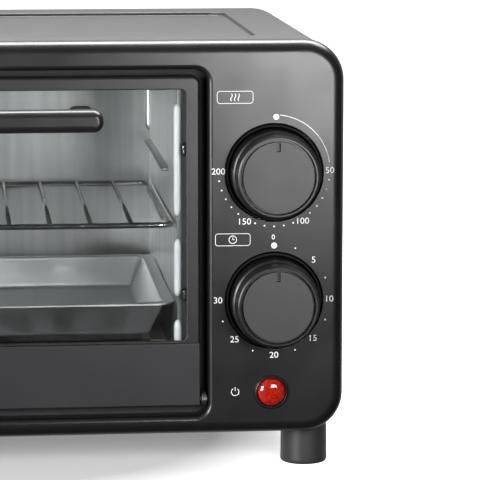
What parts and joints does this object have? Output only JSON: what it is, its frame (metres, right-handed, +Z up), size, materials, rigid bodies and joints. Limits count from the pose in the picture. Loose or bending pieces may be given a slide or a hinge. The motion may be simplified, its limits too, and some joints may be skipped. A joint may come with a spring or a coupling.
{
  "type": "toaster oven",
  "caption": "Countertop toaster oven with a drop-down glass door, two rotary controls, a pilot lamp, a wire rack and a baking tray.",
  "frame": {"origin": "on the table, under the middle of the oven's box", "axes": "+X to the user's right, -Y out of the front, +Z up"},
  "size_m": [0.36, 0.292, 0.219],
  "materials": {
    "black_paint": "satin black",
    "shell_paint": "fine textured black",
    "galvanised": "galvanised sheet",
    "rubber": "matte",
    "steel": "plain",
    "heater_metal": "oxidised",
    "ceramic": "unglazed",
    "chrome": "polished",
    "black_plastic": "satin",
    "switch_case": "plain",
    "red_lens": "clear red",
    "pane": "clear"
  },
  "bodies": {
    "oven": {"base_plate": "galvanised", "cavity_back": "galvanised", "cavity_ceiling": "galvanised", "cavity_floor": "galvanised", "cavity_front_frame": "black_paint", "cavity_left_wall": "galvanised", "cavity_right_wall": "galvanised", "control_bracket": "galvanised", "cord_gland": "rubber", "foot_front_left": "rubber", "foot_front_right": "rubber", "foot_rear_left": "rubber", "foot_rear_right": "rubber", "front_bezel": "black_paint", "heat_shield": "galvanised", "heater_bottom_front": "heater_metal", "heater_bottom_rear": "heater_metal", "heater_holder_bottom_left": "ceramic", "heater_holder_bottom_right": "ceramic", "heater_holder_top_left": "ceramic", "heater_holder_top_right": "ceramic", "heater_top_front": "heater_metal", "heater_top_rear": "heater_metal", "hinge_lug_left": "steel", "hinge_lug_right": "steel", "lamp_body": "black_plastic", "lamp_lens": "red_lens", "lamp_ring": "black_plastic", "outer_shell": "shell_paint", "rear_panel": "shell_paint", "rear_spacer_left": "rubber", "rear_spacer_right": "rubber", "temp_dish": "black_plastic", "temp_switch": "switch_case", "terminal_block": "ceramic", "timer_bell": "steel", "timer_dish": "black_plastic", "timer_switch": "switch_case"},
    "door": {"door_frame": "black_paint", "door_lower_panel": "black_paint", "door_glass": "pane", "door_handle": "black_plastic", "handle_screw_left": "steel", "handle_screw_right": "steel", "glass_clip_upper_left": "steel", "glass_clip_upper_right": "steel", "glass_clip_lower_left": "steel", "glass_clip_lower_right": "steel", "hinge_pin_left": "steel", "hinge_pin_right": "steel"},
    "temp_control": {"temp_knob": "black_plastic", "temp_shaft": "steel"},
    "timer_control": {"timer_knob": "black_plastic", "timer_shaft": "steel"},
    "rack": {"wire_rack": "chrome"},
    "tray": {"baking_tray": "steel"},
    "crumb_drawer": {"crumb_tray": "galvanised"}
  },
  "joints": [
    {"name": "door_hinge", "type": "hinge", "parent": "oven", "child": "door", "pos_m": [-0.02725, -0.1115, 0.0387], "axis": [1, 0, 0], "range_deg": [0, 90]},
    {"name": "temp_knob_turn", "type": "hinge", "parent": "oven", "child": "temp_control", "pos_m": [0.1446, -0.116, 0.1532], "axis": [0, 1, 0], "range_deg": [0, 270]},
    {"name": "timer_knob_turn", "type": "hinge", "parent": "oven", "child": "timer_control", "pos_m": [0.1446, -0.116, 0.0888], "axis": [0, 1, 0], "range_deg": [0, 270]},
    {"name": "rack_slide", "type": "slide", "parent": "oven", "child": "rack", "axis": [0, -1, 0], "range_m": [0, 0.115]},
    {"name": "tray_slide", "type": "slide", "parent": "oven", "child": "tray", "axis": [0, -1, 0], "range_m": [0, 0.065]},
    {"name": "crumb_tray_slide", "type": "slide", "parent": "oven", "child": "crumb_drawer", "axis": [0, 1, 0], "range_m": [0, 0.18]}
  ],
  "couplings": [
    {"joint": "rack_slide", "follows": "door_hinge", "m_per_rad": 0.07},
    {"joint": "tray_slide", "follows": "door_hinge", "m_per_rad": 0.04}
  ]
}
